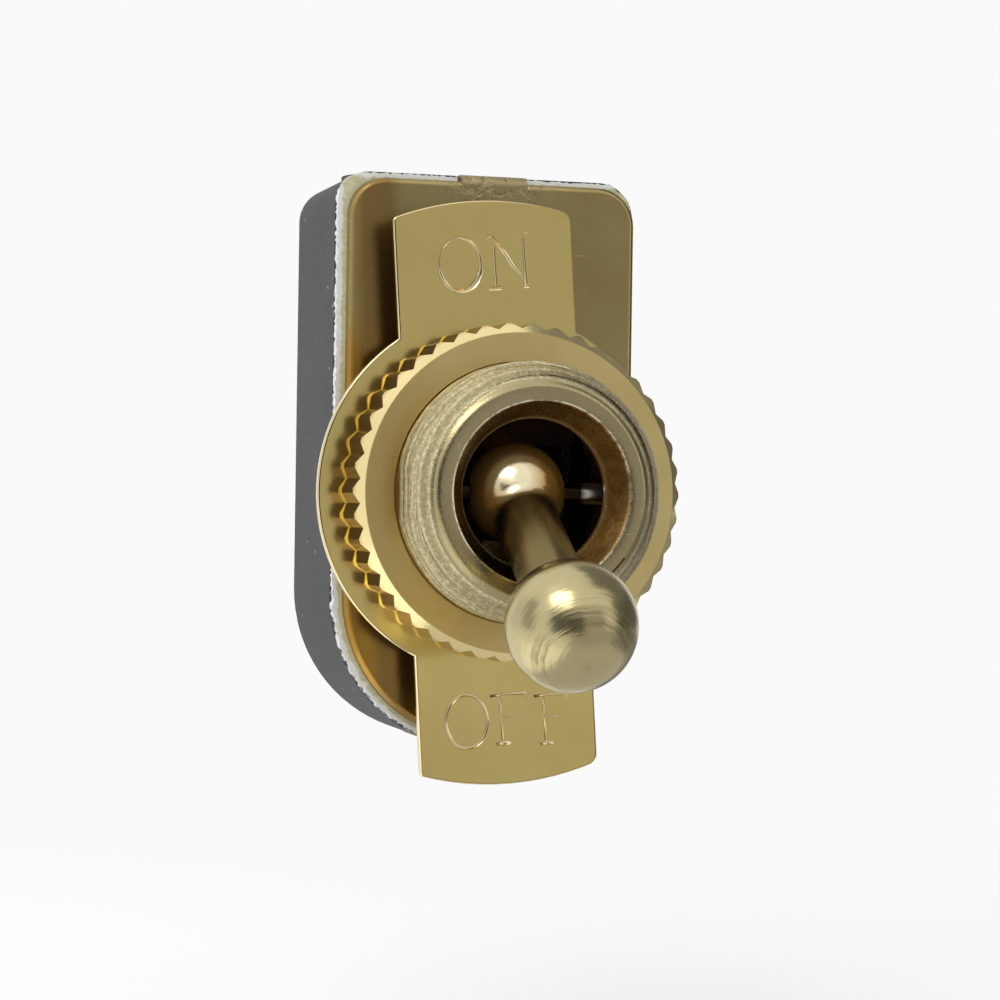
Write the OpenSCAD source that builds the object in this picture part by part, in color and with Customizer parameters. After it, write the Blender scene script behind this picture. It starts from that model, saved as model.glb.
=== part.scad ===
// Panel toggle switch with a ball lever, a knurled ring nut and an ON-OFF plate.
// Every module draws the switch on its back: X to the right, Y towards ON, Z out of the panel,
// with zero on the bushing axis at the cover plate's front face. stand_up() turns it upright.

/* [Case] */
// Width of the moulded case
case_w = 14.7; // [14.5:0.1:18]
// Sideways play taken up between the case and the cover
case_shift = -0.17; // [-0.2:0.01:0.2]
// Bushing axis to the flat top end of the case
case_top = 15; // [14.4:0.2:18]
// Bushing axis down to the centre of the round bottom end
case_drop = 4.8; // [4.4:0.2:7]
// Depth of the moulding, front edge to back
case_depth = 8.6; // [8.4:0.1:11]
// Side wall thickness
case_wall = 1.5; // [1.2:0.1:1.7]
// Floor thickness
case_floor = 1.3; // [1:0.1:1.6]
// Radius of the two top corners
case_corner_r = 1.7; // [1.2:0.1:2.5]
// Rounding of the back edge
case_edge_r = 0.7; // [0.3:0.1:0.9]

/* [Cover and fibre] */
// Thickness of the cover plate
cover_t = 0.5; // [0.4:0.05:0.8]
// How far the cover stays inside the case outline
cover_inset = 0.33; // [0.25:0.01:0.8]
// Radius of the cover's top corners
cover_corner_r = 1.8; // [1:0.1:2.5]
// Rolled front edge of the cover
cover_edge_r = 0.3; // [0.1:0.05:0.35]
// Width of the two crimp tabs
tab_w = 3.2; // [2:0.1:3.4]
// Length of the tab folded over the back
tab_fold = 2.4; // [1.5:0.1:4]
// Thickness of the fibre insulator
fibre_t = 0.4; // [0.2:0.05:0.8]
// How far the fibre stays inside the case outline
fibre_inset = 0.06; // [0:0.02:0.2]

/* [Bushing] */
// Radius over the thread
thread_r = 5.95; // [5.9:0.01:6.2]
// Depth of the thread form
thread_depth = 0.48; // [0.3:0.02:0.6]
// Height of the bushing's rim above the cover
bushing_h = 8.3; // [7.9:0.1:10]
// Radius of the mouth at the rim
mouth_r = 4.08; // [3.9:0.02:4.2]
// Radius of the lip inside the mouth
lip_r = 3.35; // [3.2:0.05:3.6]
// Width of the flat on the left side
keyway_w = 2.7; // [2:0.1:3.5]

/* [Nuts and plate] */
// Hex nut, across flats
jam_af = 14.3; // [14:0.1:15]
// Hex nut thickness
jam_t = 1.6; // [1.2:0.1:2.4]
// Indicator plate thickness
plate_t = 0.4; // [0.3:0.05:0.6]
// Radius of the plate's ring
plate_ring_r = 8.5; // [8.3:0.05:9]
// Radius of the disc that the two tabs were cut from
plate_arc_r = 13.58; // [12:0.1:15]
// Width of the ON and OFF tabs
plate_tab_w = 8.6; // [6:0.1:10]
// Turn of the plate on the bushing, in degrees
plate_turn = 3.8; // [0:0.1:10]
// Sideways play taken up by the plate
plate_shift = -0.3; // [-0.3:0.05:0.3]
// Ring nut thickness
nut_t = 3; // [2.4:0.1:4]
// Radius of the ring nut's front face
nut_face_r = 7.29; // [6.9:0.01:7.35]
// Radius over the knurl
knurl_tip_r = 7.75; // [7.5:0.05:8]
// Depth of the knurl
knurl_depth = 0.26; // [0.2:0.02:0.4]
// Number of knurl teeth
knurl_count = 42; // [30:1:60]
// Height of the bevel on the front edge
nut_bevel_h = 0.48; // [0.3:0.02:1]
// Size of the bevel on the back edge
nut_back_bevel = 0.32; // [0.1:0.02:0.5]
// Depth of the countersink that leads the thread in
nut_lead_h = 0.5; // [0.2:0.1:0.8]

/* [Lever] */
// Pivot pin height above the cover
pivot_h = 5.5; // [5.3:0.1:5.7]
// Lean of the lever either side of straight, in degrees
lever_tilt = 33; // [27:1:34]
// Radius of the pivot ball
pivot_ball_r = 2.3; // [2.1:0.05:2.5]
// Radius of the shaft
shaft_r = 1.42; // [1.2:0.02:1.5]
// Radius of the hollow where the shaft runs into the pivot ball
pivot_fillet_r = 0.9; // [0.3:0.1:1.2]
// Radius of the hollow where it runs into the handle ball
handle_fillet_r = 0.5; // [0.2:0.1:1]
// Pivot to the centre of the handle ball
handle_reach = 10.2; // [9:0.2:16]
// Radius of the handle ball
handle_ball_r = 2.85; // [2.2:0.05:3.5]
// Pivot to the centre of the ball at the tail's tip
tail_reach = 9; // [8.6:0.1:9.2]
// Radius of the ball at the tail's tip
tip_ball_r = 1; // [0.9:0.05:1.05]
// Radius of the pivot pin
pin_r = 0.5; // [0.4:0.05:0.6]
// Sideways play of the lever along its pin
lever_shift = -0.48; // [-0.5:0.02:0.5]

/* [Contact gear] */
// Half length of the carrier along its travel
carrier_half_l = 2.6; // [2.5:0.1:2.8]
// Terminal strip thickness
strip_t = 0.5; // [0.4:0.05:0.6]
// Radius of the moving contact buttons
button_r = 0.9; // [0.7:0.05:1]
// Thickness of the bridge strip
bridge_t = 0.4; // [0.3:0.05:0.5]
// Spring wire radius
wire_r = 0.14; // [0.1:0.01:0.18]
// Spring coil radius, to the wire's centre
coil_r = 0.95; // [0.8:0.05:1]
// Radius of each lead hole
lead_r = 1.35; // [1:0.05:1.5]
// How far the lead collars rise above the top end
collar_h = 0.2; // [0.1:0.1:1.5]

/* [Fits] */
// Radial gap of the pivot pin in the lever
pin_gap = 0.08; // [0.03:0.01:0.1]
// Gap between faces that only seat
seat_gap = 0.02; // [0.01:0.01:0.05]
// Gap round parts that slide
slide_gap = 0.35; // [0.2:0.05:0.4]

/* [Hidden] */
$fn = 64;

brass = [0.68, 0.59, 0.36];
plated_brass = [0.62, 0.5, 0.24];
grey_brass = [0.62, 0.57, 0.42];
steel = [0.62, 0.62, 0.6];
silver = [0.85, 0.85, 0.83];
moulding = [0.36, 0.36, 0.37];
fibre_pale = [0.84, 0.87, 0.8];
moulded_carrier = [0.32, 0.16, 0.1];

// Levels behind the cover's front face
half_w = case_w / 2;
fibre_z = -cover_t;
case_z = fibre_z - fibre_t;
back_z = case_z - case_depth;
floor_z = back_z + case_floor;
inner_half_w = half_w - case_wall;
inner_top = case_top - case_wall;

// Levels in front of it
plate_z = jam_t + seat_gap;
nut_z = plate_z + plate_t + seat_gap;
nut_top = nut_z + nut_t;
root_r = thread_r - thread_depth;
flange_r = inner_half_w + 0.6;
keyway_depth = thread_r - sqrt(thread_r * thread_r - keyway_w * keyway_w / 4);

// The lever's tail and what it needs at the bushing's back end
tail_r = 1.3;
tail_tip_r = 0.65;
tip_swing = tail_reach * sin(lever_tilt);
tip_high = pivot_h - tail_reach * cos(lever_tilt);
tip_low = pivot_h - tail_reach;
bore_r = thread_r - 1.25;
bore_end_r = thread_r - 0.6;
bore_flare_z = 1.5;

// The carrier, from its front face to the strip under it
carrier_front = case_z - slide_gap;
pocket_floor = tip_low - tip_ball_r - 0.25;
carrier_back = pocket_floor - 0.75;
pocket_half = tip_ball_r + 0.2;
pocket_mouth_half = pocket_half + 0.5;
pocket_flare_z = carrier_front - 1.35;
land_z = floor_z + strip_t;
rib_z = land_z + 0.2;
leg_z = rib_z + 0.1;
button_z = land_z + 0.06;
bridge_back = leg_z + 0.35;
bridge_front = bridge_back + bridge_t;
spring_seat_z = carrier_back + 0.5;
leg_l = 0.85;
leg_half_w = 1.6;
rib_x = 0.9;
rib_w = 0.8;

// Terminals run down the side walls, clear of the carrier
strip_x = inner_half_w - 0.05 - strip_t;
carrier_half_w = strip_x - slide_gap - 0.1;
button_x = carrier_half_w - 1.8;
bridge_half_l = button_x + button_r + 0.2;
bridge_half_w = carrier_half_l - leg_l - 0.25;
foot_in_x = button_x - button_r - 0.1;
foot_end = -tip_swing - carrier_half_l + 0.3;
foot_start = foot_end + 4.8;
strip_h = 3;

// The lead chamber behind the cross wall
wall_start = tip_swing + carrier_half_l + 0.4;
wall_l = 1;
barrel_start = wall_start + wall_l + 0.7;
barrel_end = inner_top - 0.9;
lead_x = inner_half_w - 1.8;
lead_z = case_z - 4;
barrel_r = lead_r + 0.1;
barrel_bore_r = lead_r - 0.35;
collar_r = lead_r + 0.7;
rivet_r = 0.75;
rivet_head_r = 1.25;
rivet_head_h = 0.35;
rivet_x = lead_x - 0.35;
rivet_y = (barrel_start + barrel_end) / 2;
rivet_sink = 0.5;

module stand_up() {
    rotate([90, 0, 0]) children();
}

module mirrored_if(left) {
    mirror([left ? 1 : 0, 0, 0]) children();
}

module slab(z_low, z_high) {
    translate([0, 0, z_low]) linear_extrude(z_high - z_low) children();
}

module box(low, high) {
    translate(low) cube(high - low);
}

// The case and all that it holds lie this far beside the bushing axis
module in_case() {
    translate([case_shift, 0, 0]) children();
}

// Flat top end with two corners, straight sides and a half-round bottom end
module case_outline(w, top, corner_r) {
    translate([0, -case_drop]) circle(r = w);
    translate([-w, -case_drop]) square([2 * w, case_drop + top - corner_r]);
    translate([corner_r - w, -case_drop]) square([2 * (w - corner_r), case_drop + top]);
    for (side = [-1, 1])
        translate([side * (w - corner_r), top - corner_r]) circle(r = corner_r);
}

// What a rounded corner of radius r takes off a square one, with the corner at the origin
module corner_waste(r) {
    difference() {
        translate([-r, -r]) square(r + 1);
        translate([-r, -r]) circle(r = r);
    }
}

// Takes the rounding of radius r off the upper edge of a slab with the case's outline
module edge_waste(w, top, corner_r, z, r) {
    translate([0, 0, z]) {
        translate([0, -case_drop, 0]) rotate([0, 0, 180])
            rotate_extrude(angle = 180) translate([w, 0]) corner_waste(r);
        for (side = [0, 1]) mirror([side, 0, 0]) {
            translate([w, top - corner_r, 0]) rotate([90, 0, 0])
                linear_extrude(top - corner_r + case_drop) corner_waste(r);
            translate([w - corner_r, top - corner_r, 0])
                rotate_extrude(angle = 90) translate([corner_r, 0]) corner_waste(r);
        }
        translate([corner_r - w, top, 0]) rotate([90, 0, 90])
            linear_extrude(2 * (w - corner_r)) corner_waste(r);
    }
}

module case_shell() {
    difference() {
        slab(back_z, case_z) case_outline(half_w, case_top, case_corner_r);
        slab(floor_z, case_z + 1) case_outline(inner_half_w, inner_top, 0.6);
        mirror([0, 0, 1]) edge_waste(half_w, case_top, case_corner_r, -back_z, case_edge_r);
    }
}

module lead_collars() {
    for (side = [-1, 1])
        translate([side * lead_x, case_top - 0.2, lead_z]) rotate([-90, 0, 0])
            cylinder(r = collar_r, h = collar_h + 0.2);
}

module case_inside() {
    // Cross wall between the contacts and the lead chamber, open beside the strips
    wall_half = strip_x - 0.1;
    box([-wall_half, wall_start, floor_z - 0.1], [wall_half, wall_start + wall_l, carrier_back + 1.5]);
    // Ribs that the carrier's legs ride on
    for (side = [-1, 1])
        box([side * rib_x - rib_w / 2, foot_end - 0.6, floor_z - 0.1],
            [side * rib_x + rib_w / 2, wall_start - 0.2, rib_z]);
    // Lands level with the terminal feet, where the bridge rests when the switch is off
    for (side = [0, 1]) mirror([side, 0, 0])
        box([foot_in_x, foot_start + 0.2, floor_z - 0.1],
            [bridge_half_l + 0.1, wall_start + 0.1, land_z]);
}

// Room for the crimp tabs in both ends, from behind the case up to z_high
module tab_grooves(z_high) {
    groove_half = tab_w / 2 + 0.1;
    depth = cover_t + seat_gap;
    box([-groove_half, case_top - depth, back_z - 1], [groove_half, case_top + 1, z_high]);
    box([-groove_half, -case_drop - half_w - 1, back_z - 1],
        [groove_half, depth - case_drop - half_w, z_high]);
}

module case() {
    color(moulding) stand_up() difference() {
        in_case() {
            case_shell();
            case_inside();
            lead_collars();
        }
        in_case() for (side = [-1, 1]) {
            translate([side * lead_x, inner_top - 0.5, lead_z]) rotate([-90, 0, 0])
                cylinder(r = lead_r, h = case_wall + collar_h + 1);
            translate([side * rivet_x, rivet_y, back_z - 1]) cylinder(r = rivet_r + seat_gap, h = 4);
            translate([side * rivet_x, rivet_y, back_z - 1])
                cylinder(r = rivet_head_r + 0.3, h = 1 + rivet_sink);
        }
        tab_grooves(case_z + 1);
    }
}

module fibre_gasket() {
    color(fibre_pale) stand_up() difference() {
        in_case() slab(case_z, fibre_z)
            case_outline(half_w - fibre_inset, case_top - fibre_inset, case_corner_r - 0.4);
        translate([0, 0, case_z - 1]) cylinder(r = flange_r + 0.1, h = fibre_t + 2);
        tab_grooves(fibre_z + 1);
    }
}

// A strip from the cover's edge, down a groove in the end of the case and folded over its back.
// The end of the case lies reach away from the bushing axis, and the strip is flush with it.
module crimp_tab(reach) {
    in_y = reach - cover_t;
    fold_z = back_z - seat_gap;
    rotate([90, 0, 90]) linear_extrude(tab_w, center = true) difference() {
        union() {
            translate([reach - 1.2, -cover_t]) square([1.2, cover_t]);
            translate([in_y, fold_z - cover_t]) square([cover_t, cover_t - fold_z]);
            translate([reach - tab_fold, fold_z - cover_t]) square([tab_fold, cover_t]);
        }
        translate([reach, 0]) corner_waste(cover_t);
        translate([reach, fold_z - cover_t]) mirror([0, 1]) corner_waste(cover_t);
    }
}

module cover_plate() {
    w = half_w - cover_inset;
    top = case_top - cover_inset;
    color(plated_brass) stand_up() {
        difference() {
            slab(fibre_z, 0) case_outline(w, top, cover_corner_r);
            edge_waste(w, top, cover_corner_r, 0, cover_edge_r);
            translate([0, 0, -2]) cylinder(r = thread_r + seat_gap, h = 4);
        }
        crimp_tab(case_top);
        mirror([0, 1, 0]) crimp_tab(case_drop + half_w);
    }
}

// Turned barrel. Under the two nuts it is drawn at the root of the thread,
// and where it stands free at the crest.
module bushing() {
    free_z = nut_top + seat_gap;
    color(grey_brass) stand_up() difference() {
        rotate_extrude() polygon([
            [bore_end_r, case_z],
            [flange_r, case_z],
            [flange_r, fibre_z - seat_gap],
            [thread_r, fibre_z - seat_gap],
            [thread_r, 0],
            [root_r, 0],
            [root_r, free_z],
            [thread_r, free_z],
            [thread_r, bushing_h - 1.6],
            [thread_r - 0.35, bushing_h - 0.8],
            [thread_r - 0.75, bushing_h - 0.35],
            [thread_r - 1.15, bushing_h],
            [mouth_r, bushing_h],
            [lip_r, bushing_h - 1.3],
            [lip_r, bushing_h - 1.6],
            [bore_r, bushing_h - 1.9],
            [bore_r, bore_flare_z],
        ]);
        box([-thread_r - 1, -thread_r, 0], [-thread_r + keyway_depth, thread_r, bushing_h + 1]);
        translate([0, 0, pivot_h]) rotate([0, -90, 0]) cylinder(r = pin_r + seat_gap, h = thread_r + 1);
        translate([0, 0, pivot_h]) rotate([0, 90, 0]) cylinder(r = pin_r + seat_gap, h = root_r - 0.2);
    }
}

module pivot_pin() {
    color(steel) stand_up() translate([0, 0, pivot_h]) rotate([0, 90, 0])
        cylinder(r = pin_r, h = 2 * root_r - 0.5, center = true);
}

module jam_nut() {
    corner_r = jam_af / 2 / cos(30);
    color(plated_brass) stand_up() difference() {
        intersection() {
            translate([0, 0, seat_gap]) rotate([0, 0, 30]) cylinder(r = corner_r, h = jam_t - seat_gap, $fn = 6);
            rotate_extrude() polygon([
                [0, 0],
                [jam_af / 2, 0],
                [corner_r + 0.2, 0.5],
                [corner_r + 0.2, jam_t - 0.5],
                [jam_af / 2, jam_t],
                [0, jam_t],
            ]);
        }
        translate([0, 0, -1]) cylinder(r = root_r + seat_gap, h = jam_t + 2);
    }
}

module indicator_plate() {
    play = thread_r + 0.4;
    color(brass) stand_up() translate([plate_shift, 0, 0]) rotate([0, 0, plate_turn])
        slab(plate_z, plate_z + plate_t) difference() {
            union() {
                circle(r = plate_ring_r);
                intersection() {
                    circle(r = plate_arc_r);
                    square([plate_tab_w, 2 * plate_arc_r], center = true);
                }
            }
            circle(r = play);
        }
}

// One tooth as three points: both ends of its narrow crest, then the root beside it
function knurl_tooth(i) = let(step = 360 / knurl_count, a = i * step) [
    for (p = [[-0.09, 0], [0.09, 0], [0.5, knurl_depth]])
        (knurl_tip_r - p[1]) * [cos(a + p[0] * step), sin(a + p[0] * step)]
];

module ring_nut() {
    color(brass) stand_up() difference() {
        intersection() {
            slab(nut_z, nut_top) polygon([for (i = [0:knurl_count - 1]) each knurl_tooth(i)]);
            rotate_extrude() polygon([
                [0, nut_z],
                [knurl_tip_r - nut_back_bevel, nut_z],
                [knurl_tip_r, nut_z + nut_back_bevel],
                [knurl_tip_r, nut_top - nut_bevel_h],
                [nut_face_r, nut_top],
                [0, nut_top],
            ]);
        }
        translate([0, 0, nut_z - 1]) cylinder(r = root_r + seat_gap, h = nut_t + 2);
        translate([0, 0, nut_top - nut_lead_h])
            cylinder(r1 = root_r + seat_gap, r2 = thread_r + 0.06, h = nut_lead_h + seat_gap);
    }
}

// Hollow of radius r between the shaft and a ball that lies at zero, on the ball's upper side
module root_fillet(ball_r, r) {
    hollow_x = shaft_r + r;
    hollow_z = sqrt(pow(ball_r + r, 2) - pow(hollow_x, 2));
    edge_x = hollow_x * ball_r / (ball_r + r);
    edge_z = hollow_z * ball_r / (ball_r + r);
    rotate_extrude() difference() {
        translate([0, edge_z - 0.2]) square([edge_x, hollow_z - edge_z + 0.2]);
        translate([hollow_x, hollow_z]) circle(r = r);
    }
}

// Turned in one piece: handle ball, shaft, pivot ball, tapered tail and its round tip
module lever() {
    color(brass) stand_up() translate([lever_shift, 0, pivot_h]) rotate([lever_tilt, 0, 0]) difference() {
        union() {
            sphere(r = pivot_ball_r);
            cylinder(r = shaft_r, h = handle_reach);
            translate([0, 0, handle_reach]) sphere(r = handle_ball_r);
            root_fillet(pivot_ball_r, pivot_fillet_r);
            translate([0, 0, handle_reach]) mirror([0, 0, 1]) root_fillet(handle_ball_r, handle_fillet_r);
            mirror([0, 0, 1]) cylinder(r1 = tail_r, r2 = tail_tip_r, h = tail_reach);
            translate([0, 0, -tail_reach]) sphere(r = tip_ball_r);
        }
        rotate([0, 90, 0]) cylinder(r = pin_r + pin_gap, h = 2 * pivot_ball_r + 1, center = true);
    }
}

// Draws its children in the case at the carriage's rest place, with the lever at OFF
module at_off() {
    translate([case_shift, tip_swing, 0]) children();
}

module contact_carrier() {
    corner_r = 0.8;
    color(moulded_carrier) stand_up() at_off() difference() {
        union() {
            slab(carrier_back, carrier_front) {
                square([2 * (carrier_half_w - corner_r), 2 * carrier_half_l], center = true);
                square([2 * carrier_half_w, 2 * (carrier_half_l - corner_r)], center = true);
                for (x = [-1, 1], y = [-1, 1])
                    translate([x * (carrier_half_w - corner_r), y * (carrier_half_l - corner_r)])
                        circle(r = corner_r);
            }
            for (side = [0, 1]) mirror([0, side, 0])
                box([-leg_half_w, carrier_half_l - leg_l, leg_z],
                    [leg_half_w, carrier_half_l, carrier_back + 0.1]);
        }
        // Pocket for the lever's tip, flared towards its mouth
        box([-pocket_half - 0.3, -pocket_half, pocket_floor],
            [pocket_half + 0.3, pocket_half, carrier_front + 1]);
        rotate([90, 0, 90]) linear_extrude(2 * pocket_half + 0.6, center = true) polygon([
            [-pocket_half, pocket_flare_z],
            [pocket_half, pocket_flare_z],
            [pocket_mouth_half, carrier_front + 0.01],
            [-pocket_mouth_half, carrier_front + 0.01],
        ]);
        // Seats of the two springs
        for (side = [-1, 1])
            translate([side * button_x, 0, carrier_back - 1])
                cylinder(r = coil_r + wire_r + 0.15, h = 1 + spring_seat_z - carrier_back);
    }
}

module bridge_contact() {
    color(brass) stand_up() at_off() slab(bridge_back, bridge_front) difference() {
        union() {
            square([2 * button_x, 2 * bridge_half_w], center = true);
            for (side = [-1, 1])
                translate([side * button_x, 0]) circle(r = bridge_half_w);
        }
        for (side = [-1, 1])
            translate([side * button_x, 0]) circle(r = button_r / 2 + seat_gap);
    }
}

// Rivet-shaped silver button, with its domed face towards the terminals
module bridge_button(left) {
    dome = 0.15;
    color(silver) stand_up() at_off() mirrored_if(left) translate([button_x, 0, 0]) rotate_extrude() polygon([
        [0, button_z],
        [button_r - 0.25, button_z],
        [button_r, button_z + dome],
        [button_r, bridge_back - seat_gap],
        [button_r / 2, bridge_back - seat_gap],
        [button_r / 2, bridge_front],
        [0, bridge_front],
    ]);
}

// Points round the wire at step i of a coil that climbs from z_low to z_high
function coil_ring(i, steps, turns, z_low, z_high, sides) = let(
    a = 360 * turns * i / steps,
    t = i / steps,
    rise = t < 0.2 ? t * 0.55 : t > 0.8 ? 1 - (1 - t) * 0.55 : 0.11 + (t - 0.2) * 1.3,
    z = z_low + wire_r + (z_high - z_low - 2 * wire_r) * rise
) [
    for (j = [0:sides - 1]) let(b = 360 * j / sides, r = coil_r + wire_r * cos(b))
        [r * cos(a), r * sin(a), z + wire_r * sin(b)]
];

module contact_spring(left) {
    turns = 4;
    sides = 6;
    steps = turns * 18;
    z_low = bridge_front + seat_gap;
    z_high = spring_seat_z - seat_gap;
    rings = [for (i = [0:steps]) each coil_ring(i, steps, turns, z_low, z_high, sides)];
    walls = [
        for (i = [0:steps - 1], j = [0:sides - 1]) let(a = i * sides, k = (j + 1) % sides)
            [a + j, a + sides + j, a + sides + k, a + k]
    ];
    ends = [[for (j = [0:sides - 1]) j], [for (j = [sides - 1:-1:0]) steps * sides + j]];
    color(steel) stand_up() at_off() mirrored_if(left) translate([button_x, 0, 0])
        polyhedron(points = rings, faces = concat(walls, ends), convexity = 6);
}

// Strip along the side wall, with a foot under the bridge and a crimp barrel for the lead
module terminal(left) {
    wall_x = strip_x + strip_t;
    narrow_x = carrier_half_w;
    top_z = floor_z + strip_h;
    low_z = floor_z + seat_gap;
    color(brass) stand_up() in_case() mirrored_if(left) difference() {
        union() {
            box([foot_in_x, -case_drop, low_z], [wall_x, foot_start, land_z]);
            box([foot_in_x, foot_end, low_z], [narrow_x, -case_drop + 0.1, land_z]);
            box([strip_x, -case_drop, low_z], [wall_x, barrel_end, top_z]);
            box([strip_x, barrel_start, top_z - 0.1], [wall_x, barrel_end, lead_z + 0.4]);
            box([rivet_x - rivet_head_r - 0.2, barrel_start, low_z], [wall_x, barrel_end, land_z]);
            translate([lead_x, barrel_start, lead_z]) rotate([-90, 0, 0])
                cylinder(r = barrel_r, h = barrel_end - barrel_start);
        }
        translate([lead_x, barrel_start - 1, lead_z]) rotate([-90, 0, 0])
            cylinder(r = barrel_bore_r, h = barrel_end - barrel_start + 2);
        translate([button_x, -tip_swing, low_z - 1]) cylinder(r = button_r + seat_gap, h = 3);
        translate([rivet_x, rivet_y, low_z - 1]) cylinder(r = rivet_r + seat_gap, h = 2);
    }
}

// Silver inlay, flush with the foot
module fixed_contact(left) {
    color(silver) stand_up() in_case() mirrored_if(left) translate([button_x, -tip_swing, floor_z + seat_gap])
        cylinder(r = button_r, h = strip_t - seat_gap);
}

module terminal_rivet(left) {
    head_z = land_z + seat_gap;
    tail_z = back_z + rivet_sink - seat_gap;
    color(brass) stand_up() in_case() mirrored_if(left) translate([rivet_x, rivet_y, 0]) rotate_extrude() polygon([
        [0, head_z + rivet_head_h],
        [rivet_head_r * 0.6, head_z + rivet_head_h],
        [rivet_head_r, head_z + 0.1],
        [rivet_head_r, head_z],
        [rivet_r, head_z],
        [rivet_r, tail_z],
        [rivet_head_r, tail_z],
        [rivet_head_r * 0.8, tail_z - rivet_head_h],
        [rivet_r * 0.6, tail_z - rivet_head_h],
        [0, tail_z - 0.1],
    ]);
}

case();
fibre_gasket();
cover_plate();
bushing();
jam_nut();
indicator_plate();
ring_nut();
lever();
pivot_pin();
contact_carrier();
bridge_contact();
bridge_button(true);  // bridge_button_left
bridge_button(false);  // bridge_button_right
contact_spring(true);  // contact_spring_left
contact_spring(false);  // contact_spring_right
terminal(true);  // terminal_left
terminal(false);  // terminal_right
fixed_contact(true);  // fixed_contact_left
fixed_contact(false);  // fixed_contact_right
terminal_rivet(true);  // terminal_rivet_left
terminal_rivet(false);  // terminal_rivet_right
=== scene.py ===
import math
import random

import bmesh
import bpy
from mathutils import Matrix, Vector


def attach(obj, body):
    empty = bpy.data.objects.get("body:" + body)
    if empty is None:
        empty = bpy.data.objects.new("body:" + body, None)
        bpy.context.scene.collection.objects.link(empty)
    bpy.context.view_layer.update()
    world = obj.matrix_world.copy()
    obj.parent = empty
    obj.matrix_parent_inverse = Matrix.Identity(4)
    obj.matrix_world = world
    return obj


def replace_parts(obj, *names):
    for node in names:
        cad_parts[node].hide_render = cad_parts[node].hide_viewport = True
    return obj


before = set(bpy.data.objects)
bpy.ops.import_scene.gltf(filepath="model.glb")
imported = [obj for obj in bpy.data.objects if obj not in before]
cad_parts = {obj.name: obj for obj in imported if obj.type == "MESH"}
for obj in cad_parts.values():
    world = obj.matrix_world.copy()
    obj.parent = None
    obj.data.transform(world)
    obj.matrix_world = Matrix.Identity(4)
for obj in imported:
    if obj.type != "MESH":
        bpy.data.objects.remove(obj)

mm = 0.001
scene = bpy.context.scene
scene.view_settings.view_transform = "Standard"
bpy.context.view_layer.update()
print("frame loaded:", len(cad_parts), "nodes")


def meshFrom(bm, name):
    mesh = bpy.data.meshes.new(name)
    bm.to_mesh(mesh)
    bm.free()
    return mesh


def linked(name, data):
    piece = bpy.data.objects.new(name, data)
    scene.collection.objects.link(piece)
    return piece


# small helpers for node trees

def wire(tree, node, key, value):
    if isinstance(value, bpy.types.NodeSocket):
        tree.links.new(value, node.inputs[key])
    elif isinstance(value, tuple) and node.inputs[key].type == "RGBA":
        node.inputs[key].default_value = (*value[:3], 1)
    else:
        node.inputs[key].default_value = value


def put(tree, kind, values=None, **settings):
    node = tree.nodes.new(kind)
    for key, value in settings.items():
        setattr(node, key, value)
    for key, value in (values or {}).items():
        wire(tree, node, key, value)
    return node


def calc(tree, operation, *values, clamp=False):
    node = put(tree, "ShaderNodeMath", operation=operation, use_clamp=clamp)
    for k, value in enumerate(values):
        wire(tree, node, k, value)
    return node.outputs[0]


def times(tree, a, b):
    return calc(tree, "MULTIPLY", a, b)


def timesPlus(tree, a, b, c, clamp=False):
    return calc(tree, "MULTIPLY_ADD", a, b, c, clamp=clamp)


def blendColor(tree, factor, a, b):
    node = put(tree, "ShaderNodeMix", data_type="RGBA", blend_type="MIX", clamp_factor=True)
    for k, value in ((0, factor), (6, a), (7, b)):
        wire(tree, node, k, value)
    return node.outputs[2]


def ramp(tree, value, low, high, to=(0.0, 1.0)):
    node = put(tree, "ShaderNodeMapRange", {"Value": value, "From Min": low, "From Max": high,
                                            "To Min": to[0], "To Max": to[1]}, clamp=True)
    return node.outputs["Result"]


def rampMm(tree, value, span):
    # 0 at the first place of the span and 1 at the second, both in mm
    return ramp(tree, value, span[0] * mm, span[1] * mm)


def cloud(tree, vector, scale, detail=4.0, rough=0.55, distortion=0.0):
    return put(tree, "ShaderNodeTexNoise", {"Vector": vector, "Scale": scale, "Detail": detail,
                                            "Roughness": rough, "Distortion": distortion}).outputs["Fac"]


def stretched(tree, vector, scale, turn=(0, 0, 0)):
    node = put(tree, "ShaderNodeMapping", {"Vector": vector, "Scale": scale, "Rotation": turn})
    return node.outputs["Vector"]


def split(tree, vector):
    return put(tree, "ShaderNodeSeparateXYZ", {"Vector": vector}).outputs


def reachFrom(tree, a, b):
    return calc(tree, "SQRT", calc(tree, "ADD", calc(tree, "POWER", a, 2.0), calc(tree, "POWER", b, 2.0)))


def newGroup(name, inputs, outputs):
    tree = bpy.data.node_groups.new(name, "ShaderNodeTree")
    for label, kind, value in inputs:
        socket = tree.interface.new_socket(label, in_out="INPUT", socket_type=kind)
        if value is not None:
            socket.default_value = value
    for label, kind in outputs:
        tree.interface.new_socket(label, in_out="OUTPUT", socket_type=kind)
    return tree, tree.nodes.new("NodeGroupInput").outputs, tree.nodes.new("NodeGroupOutput")


def useGroup(tree, group, values):
    node = tree.nodes.new("ShaderNodeGroup")
    node.node_tree = group
    for key, value in values.items():
        wire(tree, node, key, value)
    return node.outputs


def emptyMaterial(name):
    mat = bpy.data.materials.new(name)
    mat.use_nodes = True
    mat.node_tree.nodes.clear()
    return mat, mat.node_tree, put(mat.node_tree, "ShaderNodeOutputMaterial")


def seenDirectly(tree):
    # 1 where the camera, a reflection or clear glass looks, 0 where light only bounces
    path = put(tree, "ShaderNodeLightPath").outputs
    seen = calc(tree, "ADD", path["Is Camera Ray"], path["Is Glossy Ray"])
    return calc(tree, "ADD", seen, path["Is Transmission Ray"], clamp=True)


# camera, floor and light

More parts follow.
